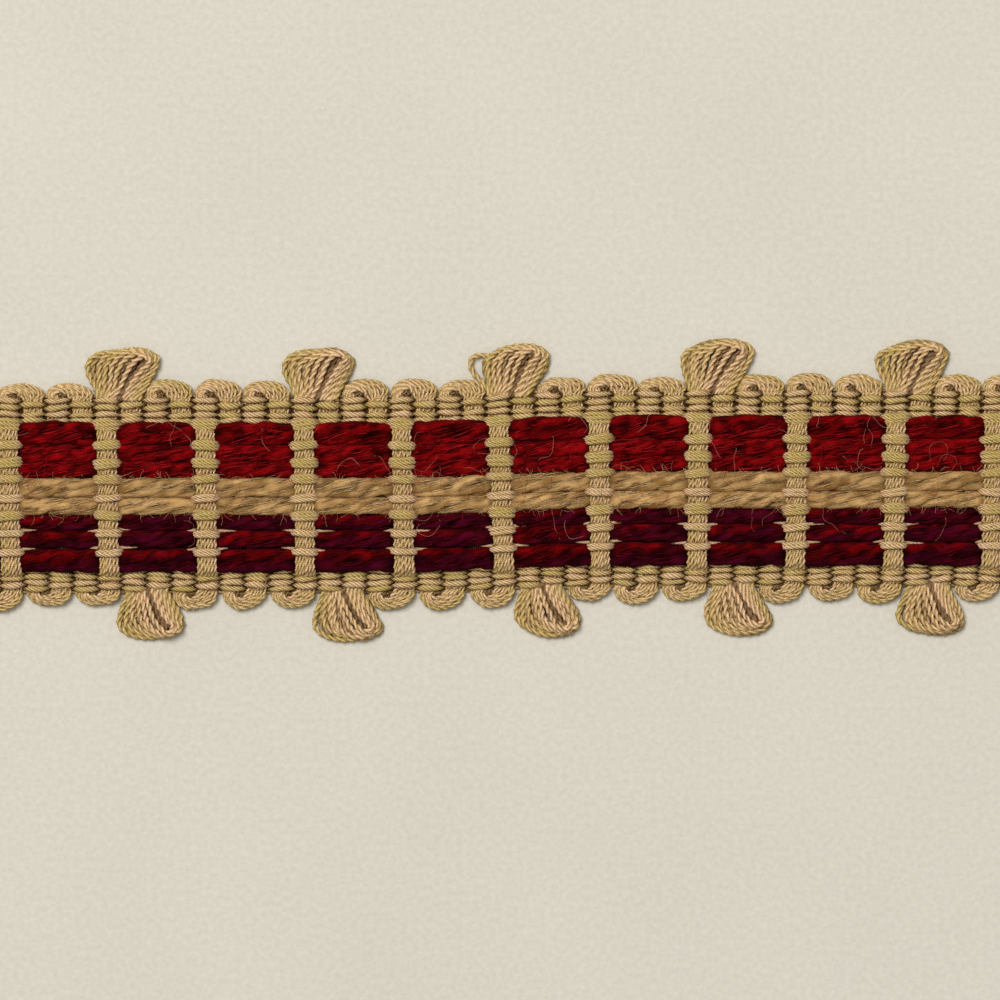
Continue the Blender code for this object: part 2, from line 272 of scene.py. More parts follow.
def lie(place):
    """Metres on the lying trim for places (..., 3) in millimetres: a cubic step sideways and a slight curve."""
    u, v, z = np.moveaxis(np.asarray(place, float), -1, 0)
    t = np.clip(2.0 * u / STEP_LENGTH, -1.0, 1.0)
    rise = STEP_SIDEWAYS * 0.25 * (3.0 * t - t ** 3)
    slope = STEP_SIDEWAYS * 0.25 * (3.0 - 3.0 * t * t) * 2.0 / STEP_LENGTH
    return np.stack([u * (1.0 + EDGE_DRAW_IN * v) - slope * v, v + rise, z], -1) * MM


def points(u, v, z):
    """Paths (threads, steps, 3) from three arrays that broadcast together."""
    return np.stack(np.broadcast_arrays(u, v, z), -1).astype(float)


def wander(rng, count, along, reach, wave):
    """A smooth random offset (count, steps): three sines of falling wavelength and random phase, summed."""
    total = 0.0
    for share in (1.0, 0.61, 0.37):
        phase = rng.uniform(0.0, TURN, (count, 1))
        total = total + np.sin(TURN * along / (wave * share) + phase)
    return reach * total / 2.0


def curve_through(knots, steps):
    """Catmull-Rom curves (n, many, c) through knots (n, k, c): each span blends the knots before, at and after."""
    before = np.concatenate([2.0 * knots[:, :1] - knots[:, 1:2], knots[:, :-2]], 1)
    start, end = knots[:, :-1], knots[:, 1:]
    after = np.concatenate([knots[:, 2:], 2.0 * knots[:, -1:] - knots[:, -2:-1]], 1)
    t = np.linspace(0.0, 1.0, steps, endpoint=False)[None, None, :, None]
    b, p, q, a = (each[:, :, None, :] for each in (before, start, end, after))
    span = 0.5 * (2.0 * p + (q - b) * t + (2.0 * b - 5.0 * p + 4.0 * q - a) * t ** 2
                  + (3.0 * p - b - 3.0 * q + a) * t ** 3)
    span = span.reshape(knots.shape[0], -1, knots.shape[2])
    return np.concatenate([span, knots[:, -1:]], 1)


def even_steps(place, extras, spacing):
    """Every path again at even steps along its length, with the values that go with it."""
    step = np.linalg.norm(np.diff(place, axis=1), axis=-1)
    length = np.concatenate([np.zeros((len(place), 1)), np.cumsum(step, 1)], 1)
    count = max(2, math.ceil(length[:, -1].max() / spacing) + 1)
    columns = np.concatenate([place, extras], -1)
    laid = np.empty((len(place), count, columns.shape[-1]))
    along = np.linspace(0.0, 1.0, count) * length[:, -1:]
    for i in range(len(place)):
        for c in range(columns.shape[-1]):
            laid[i, :, c] = np.interp(along[i], length[i], columns[i, :, c])
    return laid, along


class Skein:
    """Many threads that become one mesh.

    Each thread is a ring of corners carried along its path. A corner's angle is its share of a turn plus,
    for a twisted thread, the length so far over the length of one turn. The place of a corner is the path
    plus the half-width times its share along the level side vector and the half-height along the one below.
    """

    def __init__(self):
        self.rings = []

    def add(self, path, half, seed, tall=None, section=THREAD_SECTION, turn=WARP_TURN, hand=RIGHT_HANDED,
            spacing=WARP_RING, carved=True, hue=0.5, tone=0.5, depth=0.0, centre=None, plies=2):
        """Thread the paths (n, steps, 3). half, hue, tone and depth, the amount of painted shade, may be one value or
        one for each step.

        A carved thread's corners turn with its twist; on another thread only its finish does. Plies of a rope
        also get painted shade by their distance from the rope's centre, in the creases and on the flanks.
        """
        rng = np.random.default_rng(seed)
        n, steps = path.shape[:2]
        place = lie(path) / MM
        tall = half if tall is None else tall
        extras = np.stack([np.broadcast_to(np.asarray(each, float), (n, steps))
                           for each in (half, tall, hue, tone, depth)], -1)
        if centre is not None:
            extras = np.concatenate([extras, lie(centre) / MM], -1)
        laid, along = even_steps(place, extras, spacing)
        middle = laid[..., :3]
        tangent = np.gradient(middle, axis=1)
        tangent /= np.linalg.norm(tangent, axis=-1, keepdims=True)
        side = np.cross(tangent, (0.0, 0.0, 1.0))
        side /= np.linalg.norm(side, axis=-1, keepdims=True)
        below = np.cross(tangent, side)
        corners = len(section)
        around = np.arange(corners) / corners
        phase = rng.uniform(0.0, 1.0, (n, 1, 1))
        twist = hand * along[..., None] / turn + phase
        angle = TURN * (around + carved * twist)
        across = laid[..., 3, None] * np.cos(angle) * np.asarray(section)
        down = laid[..., 4, None] * np.sin(angle) * np.asarray(section)
        ring = middle[:, :, None] + across[..., None] * side[:, :, None] + down[..., None] * below[:, :, None]
        # Hue, tone and the depth of painted shade at every corner
        dye = np.broadcast_to(laid[:, :, None, 5:8], (*ring.shape[:3], 3)).copy()
        if centre is not None:
            off = (ring - laid[:, :, None, 8:11])[..., 1:]
            away = np.linalg.norm(off, axis=-1)
            away = away / away.max(axis=(0, 2), keepdims=True)
            flank = abs(off[..., 0]) / abs(off[..., 0]).max(axis=(0, 2), keepdims=True)
            # Painted shade where a ply turns in to the rope's middle and on the rope's flanks
            crease = 1.0 - smooth((away - CREASE_FROM) / CREASE_REACH)
            shade = FLANK_SHADE * smooth((flank - FLANK_FROM) / FLANK_REACH)
            dye[..., 2] = np.maximum(dye[..., 2], np.maximum(crease, shade))
        start = 17.3 * np.arange(n)[:, None, None] + rng.uniform(0.0, 9.0)
        lengthways = np.broadcast_to(along[..., None] + start, angle.shape)
        roundways = around - (not carved) * twist
        self.rings.append({"ring": ring, "dye": dye, "along": lengthways, "around": roundways, "plies": plies,
                           "step": along[0, 1], "girth": TURN * float(np.mean(laid[..., 3])) / corners})
        return self

    def make(self, name, finish):
        """One closed mesh of every thread, with its yarn and bake maps and its dye attribute: hue, tone and depth of
        painted shade.
        """
        areas = np.array([s["ring"][..., 0].size * s["step"] * s["girth"] for s in self.rings])
        shares = areas / areas.sum()
        base, floor = 0, 0.0
        verts, loops, totals, yarn, bake, dyes = [], [], [], [], [], []
        for s, share in zip(self.rings, shares):
            n, m, k = s["ring"].shape[:3]
            faces = ring_faces(n, m, k, base)
            verts.append(s["ring"].reshape(-1, 3) * MM)
            dyes.append(s["dye"].reshape(-1, 3))
            loops.append(faces.ravel())
            totals.append(np.full(faces.shape[0], 4))
            yarn.append(yarn_corners(s["along"], s["around"]) * (1.0, s["plies"] / 2.0))
            fold = max(2, round(math.sqrt(n * (m - 1) * k * s["girth"] / (s["step"] * share))))
            sides, ends = bake_corners(n, m, k, fold, floor, share)
            bake.append(sides)
            caps = cap_faces(n, m, k, base)
            loops.append(caps.ravel())
            totals.append(np.full(caps.shape[0], k))
            yarn.append(cap_yarn(s["along"], s["around"]) * (1.0, s["plies"] / 2.0))
            bake.append(ends)
            base += n * m * k
            floor += share
        mesh = mesh_from_arrays(name, np.concatenate(verts), np.concatenate(loops), np.concatenate(totals))
        mesh.uv_layers.new(name="yarn").data.foreach_set("uv", np.concatenate(yarn).ravel())
        mesh.uv_layers.new(name="OFBake").data.foreach_set("uv", np.concatenate(bake).ravel())
        dye = np.concatenate(dyes)
        dye = np.concatenate([dye, np.ones((len(dye), 1))], 1)
        # The dye attribute holds hue, tone and, third, the depth of painted shade
        mesh.attributes.new("dye", "FLOAT_COLOR", "POINT").data.foreach_set("color", dye.ravel())
        return add_piece(name, mesh, finish)


def ring_faces(n, m, k, base):
    """Corner numbers (faces, 4) of the walls between following rings, facing outwards."""
    number = base + np.arange(n * m * k).reshape(n, m, k)
    following = np.roll(number, -1, 2)
    return np.stack([number[:, :-1], following[:, :-1], following[:, 1:], number[:, 1:]], -1).reshape(-1, 4)


def cap_faces(n, m, k, base):
    """Corner numbers (2 n, k) of the two ends of each thread."""
    number = base + np.arange(n * m * k).reshape(n, m, k)
    return np.concatenate([number[:, 0, ::-1], number[:, -1]])


def yarn_corners(along, around):
    """Length and share of a turn at the four corners of each wall, with the last corner past a whole turn."""
    following = np.concatenate([around[..., 1:], around[..., :1] + 1.0], 2)
    corners = [(along[:, :-1], around[:, :-1]), (along[:, :-1], following[:, :-1]),
               (along[:, 1:], following[:, 1:]), (along[:, 1:], around[:, 1:])]
    return np.stack([np.stack(pair, -1) for pair in corners], -2).reshape(-1, 2)


def cap_yarn(along, around):
    """Length and share of a turn at the corners of the two ends."""
    first = np.stack([along[:, 0, ::-1], around[:, 0, ::-1]], -1)
    last = np.stack([along[:, -1], around[:, -1]], -1)
    return np.concatenate([first, last]).reshape(-1, 2)


def bake_corners(n, m, k, fold, floor, share):
    """Places on the bake map: every thread is cut into rows of fold walls, and its ends stand beside the rows.

    A wall's place is its number in the row over the row's length, and its side over the sides of all rows.
    """
    rows_each = math.ceil((m - 1) / fold)
    rows = n * rows_each
    thread, wall, side = np.meshgrid(np.arange(n), np.arange(m - 1), np.arange(k), indexing="ij")
    row = thread * rows_each + wall // fold
    left = (wall % fold) / (fold + BAKE_ROOM)
    right = (wall % fold + 1) / (fold + BAKE_ROOM)
    low = floor + share * (row + side / (k + 1.0)) / rows
    high = floor + share * (row + (side + 1.0) / (k + 1.0)) / rows
    walls = np.stack([np.stack(pair, -1) for pair in
                      ((left, low), (left, high), (right, high), (right, low))], -2).reshape(-1, 2)
    turn = TURN * np.arange(k) / k
    middle = floor + share * (np.arange(n) * rows_each + 0.5) / rows
    ends = []
    for place in BAKE_END_PLACES:
        across = (fold + place + BAKE_END_HALF * np.cos(turn)) / (fold + BAKE_ROOM)
        up = middle[:, None] + BAKE_END_HALF * share / rows * np.sin(turn)
        ends.append(np.stack([np.broadcast_to(across, up.shape), up], -1))
    return walls, np.concatenate(ends).reshape(-1, 2)


def mesh_from_arrays(name, verts, loops, totals):
    """A smooth mesh from vertex places, the corner numbers of its faces one after another, and their counts."""
    mesh = bpy.data.meshes.new(name)
    mesh.vertices.add(len(verts))
    mesh.vertices.foreach_set("co", verts.ravel().astype(np.float32))
    mesh.loops.add(len(loops))
    mesh.loops.foreach_set("vertex_index", loops.astype(np.int32))
    mesh.polygons.add(len(totals))
    mesh.polygons.foreach_set("loop_start", (np.cumsum(totals) - totals).astype(np.int32))
    mesh.polygons.foreach_set("use_smooth", np.ones(len(totals), bool))
    mesh.update(calc_edges=True)
    return mesh


def add_piece(name, mesh, finish):
    """An object at the origin that shows the mesh in one finish."""
    mesh.materials.append(finish)
    piece = bpy.data.objects.new(name, mesh)
    bpy.context.scene.collection.objects.link(piece)
    return piece


def rib_share(v):
    """1 over the wool and 0 out on the borders, with a smooth slope on each side."""
    return (smooth((FIELD_TOP + RIB_SLOPE_OUT - v) / RIB_SLOPE)
            * smooth((v - FIELD_FOOT + RIB_SLOPE_OUT) / RIB_SLOPE))


def rib_height(v):
    """Height of a rib's threads: up from the border over the wool, pressed down under each bead."""
    z = PICK_HEIGHT + (RIB_HEIGHT - PICK_HEIGHT) * rib_share(v)
    for bead, *_ in RIB_BEADS:
        z = z - BEAD_PRESS * hump(v, bead, BEAD_PRESS_REACH)
    return z


def border_press(v, odd):
    """How a border pick gives way: down where a warp crosses over it, up where one passes beneath."""
    press = 0.0
    for place, over_odd, *_ in UPPER_WARPS + LOWER_WARPS:
        press = press + (-PRESS_DOWN if over_odd == odd else PRESS_UP) * hump(v, place, PRESS_REACH)
    return press


def weft_places(pick, rng, v):
    """Six threads side by side on a pick, spaced evenly and wandering a little: places along (6, steps)."""
    off = (np.arange(WEFT_THREADS) - (WEFT_THREADS - 1) / 2)[:, None] * WEFT_STEP
    return pick * PICK_PITCH + off + wander(rng, WEFT_THREADS, v[None], WEFT_WANDER, 5.0)


def weft_crown():
    """How far each of the six threads lies below the middle of the pick: a parabola across the pick."""
    share = np.linspace(-1.0, 1.0, WEFT_THREADS)[:, None]
    return WEFT_CROWN * share ** 2


def weft_hues(rng, count):
    """The hue of each of the six threads, a little different from pick to pick."""
    return np.clip(np.tile(WEFT_HUES, count) + rng.uniform(-0.12, 0.12, count * WEFT_THREADS), 0.0, 1.0)[:, None]


def make_rib_wefts(finish):
    """Every fourth pick comes to the face and crosses over the wool."""
    rng = np.random.default_rng(11)
    v = np.linspace(-WEFT_ROOT, WEFT_ROOT, 500)
    z = rib_height(v) + border_press(v, 0) * (1.0 - rib_share(v))
    # Painted shade on the rib threads beside each bead
    shaded = sum(hump(v, bead, 0.5) for bead, *_ in RIB_BEADS)
    paths = [points(weft_places(4 * number, rng, v), v, z - weft_crown())
             for number in range(-LAST_RIB, LAST_RIB + 1)]
    skein = Skein().add(np.concatenate(paths), WEFT_HALF, 12, turn=WEFT_TURN, spacing=WEFT_RING,
                        hue=weft_hues(rng, len(paths)), depth=0.6 * np.minimum(shaded, 1.0))
    return skein.make("rib_wefts", finish)


def make_ground_picks(finish):
    """The other picks: shown on the two borders, and low under the wool between them."""
    rng = np.random.default_rng(21)
    top, foot = FIELD_TOP - FIELD_INSET, FIELD_FOOT + FIELD_INSET
    upper = np.linspace(top, WEFT_ROOT, 90)
    lower = np.linspace(-WEFT_ROOT, foot, 90)
    field = np.linspace(foot, top, 60)
    skein = Skein()
    shown, hidden = [], []
    picks = [pick for pick in range(-LAST_PICK, LAST_PICK + 1) if pick % PICKS_PER_RIB]
    for pick in picks:
        for v in (upper, lower):
            inside = np.minimum(abs(v - top), abs(v - foot))
            sunk = (PICK_HEIGHT - FIELD_PICK_HEIGHT) * smooth((0.6 - inside) / 0.9)
            z = PICK_HEIGHT - sunk + border_press(v, pick % 2)
            shown.append(points(weft_places(pick, rng, v), v, z - weft_crown()))
        hidden.append(points(weft_places(pick, rng, field), field, FIELD_PICK_HEIGHT - 0.3 * weft_crown()))
    skein.add(np.concatenate(shown), WEFT_HALF, 22, turn=WEFT_TURN, spacing=WEFT_RING,
              hue=weft_hues(rng, len(shown)))
    skein.add(np.concatenate(hidden), WEFT_HALF * 0.9, 23, section=PLAIN_SECTION[:4], turn=WEFT_TURN,
              spacing=2.0 * PLAIN_RING, carved=False, hue=weft_hues(rng, len(hidden)))
    return skein.make("ground_picks", finish)


def make_rib_beads(finish):
    """Two or three ground warps that come up between the wool, cross a rib side by side and go down again.

    The height above the low end is the bead's rise times e to the minus fourth power of the distance from
    the rib over the bead's reach. Tails are the ends of such warps that show between the wool warps.
    """
    rng = np.random.default_rng(31)
    paths, hues, halves, depths, tails = [], [], [], [], []
    u = np.linspace(-BEAD_END, BEAD_END, 90)
    rising = np.exp(-(u / BEAD_REACH) ** 4)
    share = np.linspace(0.0, 1.0, 90)
    for number in range(-LAST_RIB, LAST_RIB + 1):
        for place, hue, warps, width, tailed in RIB_BEADS:
            low = BEAD_LOW if place < 6.5 else 1.0
            z = low + (rib_height(np.array(place)) + BEAD_LIFT - low) * rising
            spread = width * rng.uniform(0.9, 1.08) / 2.0 - BEAD_HALF
            lean = rng.uniform(-0.07, 0.07)
            middle = place + rng.uniform(-0.07, 0.07)
            for lane in np.linspace(-1.0, 1.0, warps):
                slant = lean + rng.uniform(-0.04, 0.04)
                v = middle + lane * (0.03 + (spread - 0.03) * smooth(rising * 1.2)) + slant * u
                paths.append(points(number * RIB_PITCH + u, v, z + BEAD_CROWN * (1.0 - abs(lane)) * rising))
                hues.append(hue + rng.uniform(-0.2, 0.2) + 0.25 - 0.7 * smooth((abs(u) - 0.3) / 0.9))
                halves.append(BEAD_HALF * (0.45 + 0.62 * rising))
                # Painted shade where the warp dives down into the wool
                depths.append(0.9 * (1.0 - smooth((rising - 0.12) / 0.4)))
            for side, lengths in ((-1.0, TAIL_LEFT), (1.0, TAIL_RIGHT)) if tailed else ():
                along = side * (TAIL_START + share * rng.uniform(*lengths))
                v = place + TAIL_RISE + rng.uniform(-0.12, 0.12) + rng.uniform(-0.15, 0.15) * share
                tails.append(points(number * RIB_PITCH + along, v, TAIL_HEIGHT - 0.6 * (share - 0.35) ** 2))
    skein = Skein().add(np.stack(paths), np.stack(halves), 32, section=WARP_SECTION, plies=WARP_PLIES,
                        hue=np.clip(np.stack(hues), 0.0, 1.0), depth=np.stack(depths))
    # Painted shade at the root of each tail, where it comes out between the wool warps
    skein.add(np.stack(tails), TAIL_HALF * (1.0 - 0.65 * share), 33, section=WARP_SECTION, plies=WARP_PLIES,
              hue=rng.uniform(0.0, 0.3, (len(tails), 1)), depth=0.8 - 0.8 * smooth(share / 0.25))
    return skein.make("rib_beads", finish)


def border_warp_paths(rows, rng):
    """Warps that go over one pick and under the next: a cosine, so that each crossing is a bead."""
    u = np.linspace(-HALF_LENGTH, HALF_LENGTH, 4000)
    paths, halves, hues, depths = [], [], [], []
    for place, over_odd, hue, size in rows:
        over = np.cos(math.pi * (u / PICK_PITCH - over_odd))
        v = place + wander(rng, 1, u[None], WARP_WANDER, 9.0)[0]
        size = size * (1.0 + wander(rng, 1, u[None], BEAD_VARIES, 5.5)[0])
        paths.append(points(u, v, WARP_MIDDLE + WARP_SWING * over))
        halves.append(size * WARP_HALF * (0.45 + 0.55 * smooth(1.3 * over)))
        hues.append(hue + 0.12 * wander(rng, 1, u[None], 1.0, 31.0)[0])
        # Painted shade where the warp dives under a pick
        depths.append(1.0 - smooth((over + 0.1) / 0.45))
    return np.stack(paths), np.stack(halves), np.clip(np.stack(hues), 0.0, 1.0), np.stack(depths)


def make_border_warps(name, rows, seed, finish):
    """The warps of one border."""
    paths, halves, hues, depths = border_warp_paths(rows, np.random.default_rng(seed))
    skein = Skein().add(paths, halves, seed + 1, section=WARP_SECTION, plies=WARP_PLIES, hue=hues, depth=depths)
    return skein.make(name, finish)


def make_back_warps(finish):
    """Warps on the back of the field that hold the picks together."""
    rng = np.random.default_rng(51)
    u = np.linspace(-HALF_LENGTH, HALF_LENGTH, 500)
    rows = (*np.linspace(FIELD_FOOT + 0.2, FIELD_TOP - 0.2, BACK_WARPS), *BORDER_BACK_WARPS)
    paths, hues = [], []
    for number, row in enumerate(rows):
        v = row + wander(rng, 1, u[None], 0.06, 9.0)[0]
        z = BACK_WARP_HEIGHT + 0.1 * (1.0 + np.cos(math.pi * (u / PICK_PITCH - number % 2)))
        paths.append(points(u, v, z))
        hues.append(rng.uniform(0.1, 0.9))
    # The back warps get painted shade all along, lying under the picks
    skein = Skein().add(np.stack(paths), BACK_WARP_HALF, 52, section=PLAIN_SECTION, spacing=PLAIN_RING,
                        carved=False, hue=np.array(hues)[:, None], depth=0.5)
    return skein.make("back_warps", finish)


def make_ground_cloth(finish):
    """The close plain weave behind the wool, as one thin sheet that rises onto the borders, dark as painted shade
    between the threads.
    """
    across, along = 30, 110
    v = np.linspace(FIELD_FOOT - 0.7, FIELD_TOP + 1.7, across)
    u = np.linspace(-HALF_LENGTH, HALF_LENGTH, along)
    lift = 0.22 * (1.0 - rib_share(v))
    place = points(u[:, None], v[None, :], 0.5 + lift[None, :])
    number = np.arange(along * across).reshape(along, across)
    faces = np.stack([number[:-1, :-1], number[1:, :-1], number[1:, 1:], number[:-1, 1:]], -1).reshape(-1, 4)
    mesh = mesh_from_arrays("ground_cloth", lie(place).reshape(-1, 3), faces.ravel(), np.full(len(faces), 4))
    piece = add_piece("ground_cloth", mesh, finish)
    thick = piece.modifiers.new("cloth thickness", "SOLIDIFY")
    thick.thickness = 0.12 * MM
    thick.offset = 0.0
    return piece


def turns(edge):
    """The picks after which the weft turns round at this edge, and those of them that make a fan."""
    every = range(-LAST_PICK + edge["first_turn"], LAST_PICK, 2)
    fans = [pick for pick in every if (pick - edge["fan_pick"]) % FAN_EVERY == 0]
    return [pick for pick in every if pick not in fans], fans


def loop_knots(outer, inner, thread):
    """Places (knots, 2) of one of the six threads of a turn, evenly between the outermost and the innermost."""
    share = thread / (WEFT_THREADS - 1)
    return (1.0 - share) * np.array(outer) + share * np.array(inner)


def lay_loops(knots, picks, edge, heights):
    """Curves (turns, steps, 3) through knots (turns, k, 2) round the middle of each turn, at the given heights."""
    middle = (np.array(picks)[:, None] + 0.5) * PICK_PITCH
    placed = points(middle + knots[..., 0], edge["side"] * (LOOP_ROOT + knots[..., 1]), heights)
    return curve_through(placed, 10)


def make_scallops(name, edge, seed, finish):
    """The short turns of the weft along one edge, each in two layers, the lower one darkened as painted shade.

    On the upper edge the six threads are stacked where they leave the first pick and open flat over the
    next; on the lower edge they lie side by side all the way.
    """
    rng = np.random.default_rng(seed)
    picks, _ = turns(edge)
    skein = Skein()
    stacked = np.array([0.0, 0.6, 1.0, 1.0, 0.8, 0.5, 0.25, 0.1, 0.0, 0.0, 0.0])
    rising = np.array([0.0, 0.1, 0.5, 0.9, 1.0, 1.0, 1.0, 0.8, 0.5, 0.1, 0.0])
    swell = rng.uniform(-0.26, 0.1, (len(picks), 1))
    shift = rng.uniform(-0.15, 0.15, (len(picks), 1))
    lanes = [(thread, 0.0) for thread in range(WEFT_THREADS)] + [(thread, 1.0) for thread in SCALLOP_UNDER]
    for number, (thread, under) in enumerate(lanes):
        flat = loop_knots(edge["outer"], edge["inner"], thread)[None].repeat(len(picks), 0)
        flat[..., 1] *= 1.0 + swell
        flat += rng.uniform(-0.1, 0.1, flat.shape) * rising[:, None]
        flat[..., 0] += shift * rising
        lane = thread - (WEFT_THREADS - 1) / 2
        drop = np.interp(thread, np.arange(WEFT_THREADS), weft_crown()[:, 0]) * (1.0 - rising)
        z = PICK_HEIGHT - 0.12 * rising + lane * edge["stack"] * stacked - drop - LAYER_DROP * under
        z = z + rng.uniform(-0.12, 0.12, flat.shape[:2]) * rising
        hue = np.clip(WEFT_HUES[int(thread) % WEFT_THREADS] + rng.uniform(-0.25, 0.25, (len(picks), 1)), 0.0, 1.0)
        # The layer beneath gets painted shade
        skein.add(lay_loops(flat, picks, edge, np.maximum(z, LOWEST_LOOP)), SCALLOP_HALF, seed + number,
                  turn=WEFT_TURN, spacing=WEFT_RING * (1.0 + UNDER_SPACING * under), hue=hue,
                  depth=(0.5 + 0.2 * (thread > 5)) * under)
    return skein.make(name, finish)


def make_fans(name, edge, seed, finish):
    """The long loops of the weft along one edge, the inner ones on top, with a layer beneath darkened as painted
    shade.
    """
    rng = np.random.default_rng(seed)
    _, picks = turns(edge)
    skein = Skein()
    last = len(FAN_OUTER) - 1
    free = smooth(np.minimum(np.arange(last + 1), last - np.arange(last + 1)) / 3.5)
    tall = rng.uniform(0.95, 1.03, (len(picks), 1))
    lean = rng.uniform(-0.25, 0.25, (len(picks), 1))
    lanes = [(thread, 0.0) for thread in range(WEFT_THREADS)] + [(thread, 1.0) for thread in FAN_UNDER]
    for number, (thread, under) in enumerate(lanes):
        flat = loop_knots(FAN_OUTER, FAN_INNER, thread)[None].repeat(len(picks), 0)
        if thread == 0:
            loose = np.array([1.0 if edge["side"] > 0 and pick == 0 else rng.uniform(0.0, 0.15) for pick in picks])
            flat += loose[:, None, None] * (np.array(LOOSE_LOOP) - flat)
        flat[..., 0] *= edge["fan_width"]
        flat[..., 1] *= tall * rng.uniform(0.93, 1.03, (len(picks), 1))
        flat[..., 0] += (lean + rng.uniform(-0.3, 0.3, (len(picks), 1))) * free * flat[..., 1] / 4.0
        flat += rng.uniform(-0.1, 0.1, flat.shape) * free[:, None]
        layer = 0.5 + 0.17 * thread - under * (0.12 + 0.1 * thread)
        z = PICK_HEIGHT * (1.0 - free) + layer * free + rng.uniform(-0.05, 0.05, flat.shape[:2]) * free
        hue = np.clip(0.8 - 0.14 * thread + rng.uniform(-0.2, 0.2, (len(picks), 1)), 0.0, 1.0)
        # The layer beneath gets painted shade
        skein.add(lay_loops(flat, picks, edge, np.maximum(z, LOWEST_LOOP)), FAN_HALF, seed + number + 1,
                  turn=FAN_TURN, spacing=WEFT_RING * (1.0 + UNDER_SPACING * under), hue=hue,
                  depth=(0.4 + 0.4 * (thread > 5)) * under)
    return skein.make(name, finish)


def from_rib(u):
    """Distance along the trim to the nearest rib."""
    return abs(u - RIB_PITCH * np.round(u / RIB_PITCH))


def wool_shape(u):
    """Puff of a wool warp at u: 0 under a rib and 1 between two."""
    return smooth((from_rib(u) - PINCH_START) / PINCH_REACH)


def make_wool(node, place, half, first, seed, finish, hue):
    """One wool warp: four plies laid up left-handed round its middle line, pinched under every rib.

    A ply's middle goes round the rope at the rope's half-width less the ply's radius. The ply's radius is
    half of the rope's half-width, so that neighbours press together.
    """
    rng = np.random.default_rng(seed)
    u = np.linspace(-HALF_LENGTH, HALF_LENGTH, 1200)[None]
    puff = wool_shape(u)
    cell = u / RIB_PITCH - np.floor(u / RIB_PITCH) - 0.5
    arch = (1.0 - 4.0 * cell ** 2) * (node == WOOL[0][0])
    wide = WOOL_PRESS * half * (PINCH_WIDTH + (1.0 - PINCH_WIDTH) * puff) * (1.0 + wander(rng, 1, u, 0.03, 11.0))
    wide = wide + RED_SWELL * arch
    tall = WOOL_TALL * (PINCH_HEIGHT + (1.0 - PINCH_HEIGHT) * puff)
    middle = WOOL_UNDER_RIB + (WOOL_MIDDLE - WOOL_UNDER_RIB) * puff + wander(rng, 1, u, 0.04, 17.0)
    ply = np.arange(WOOL_PLIES)[:, None]
    angle = TURN * (ply / WOOL_PLIES - u / WOOL_TURN) + first + wander(rng, WOOL_PLIES, u, 0.4, 7.0)
    radius = 0.53 * wide * (1.0 + wander(rng, WOOL_PLIES, u, 0.14, 4.0))
    dome = RED_DOME * arch
    v = place + dome + wander(rng, 1, u, 0.05, 19.0) + (wide - radius) * np.cos(angle)
    z = middle + (tall - 0.9 * radius) * np.sin(angle)
    centre = points(u, np.full_like(v, place) + dome, middle)
    # Painted shade near each rib
    shaded = np.broadcast_to(1.0 - smooth((from_rib(u) - RIB_SHADE[0]) / RIB_SHADE[1]), v.shape)
    tone = 0.5 + rng.uniform(-0.3, 0.3, (WOOL_PLIES, 1)) + wander(rng, WOOL_PLIES, u, 0.4, 4.5)
    skein = Skein().add(points(u, v, z), radius, seed + 1, section=WOOL_SECTION, turn=40.0, hand=LEFT_HANDED,
                        spacing=WOOL_RING, hue=hue(u, v, place, rng), tone=tone, depth=shaded, centre=centre)
    return skein.make(node.replace("wool_", "wool_warp_"), finish)


def plain_hue(u, v, place, rng):
    """One dye all through."""
    return 0.0 * v


def two_dyes(u, v, place, rng):
    """Dark red on the upper side of the warp and purple on the lower, on a slanting line that shifts by cell."""
    cell = np.floor(u / RIB_PITCH)
    local = u / RIB_PITCH - cell - 0.5
    shift = 0.3 * np.sin(2.3 * cell + 3.1 * place)
    return smooth(0.5 - (v - place - 0.45 * local - shift - PURPLE_FROM[place]) / 0.6)


def make_surface_fibres(name, ropes, count, seed, finish):
    """Fine fibres that lie on the wool, along a shallow left-handed spiral just proud of the plies."""
    rng = np.random.default_rng(seed)
    steps = np.linspace(0.0, 1.0, 9)[None]
    rope = rng.integers(0, len(ropes), count)
    place = np.array([ropes[i][1] for i in rope])[:, None]
    half = np.array([ropes[i][2] for i in rope])[:, None]
    start = rng.uniform(-HALF_LENGTH + 1.0, HALF_LENGTH - 6.0, (count, 1))
    u = start + rng.uniform(1.0, 3.4, (count, 1)) * steps
    puff = wool_shape(u)
    wide = half * (PINCH_WIDTH + (1.0 - PINCH_WIDTH) * puff)
    tall = WOOL_TALL * (PINCH_HEIGHT + (1.0 - PINCH_HEIGHT) * puff)
    angle = math.radians(90.0) + rng.uniform(-1.0, 1.0, (count, 1))
    angle = angle - (u - start) * rng.uniform(0.12, 0.36, (count, 1))
    proud = 0.98 + 0.06 * np.sin(math.pi * steps) + rng.uniform(-0.03, 0.03, (count, 1))
    middle = WOOL_UNDER_RIB + (WOOL_MIDDLE - WOOL_UNDER_RIB) * puff
    v = place + wide * proud * np.cos(angle) + wander(rng, count, u, 0.05, 3.0)
    z = middle + tall * proud * np.sin(angle)
    # The fibres get painted shade near each rib
    skein = Skein().add(points(u, v, z), SURFACE_FIBRE_HALF, seed + 1, section=FIBRE_SECTION, turn=FIBRE_TURN,
                        spacing=SURFACE_FIBRE_STEP, hue=0.0, tone=rng.uniform(0.0, 1.0, (count, 1)) ** 1.5,
                        depth=smooth((1.35 - from_rib(u)) / 0.4))
    return skein.make(name, finish)


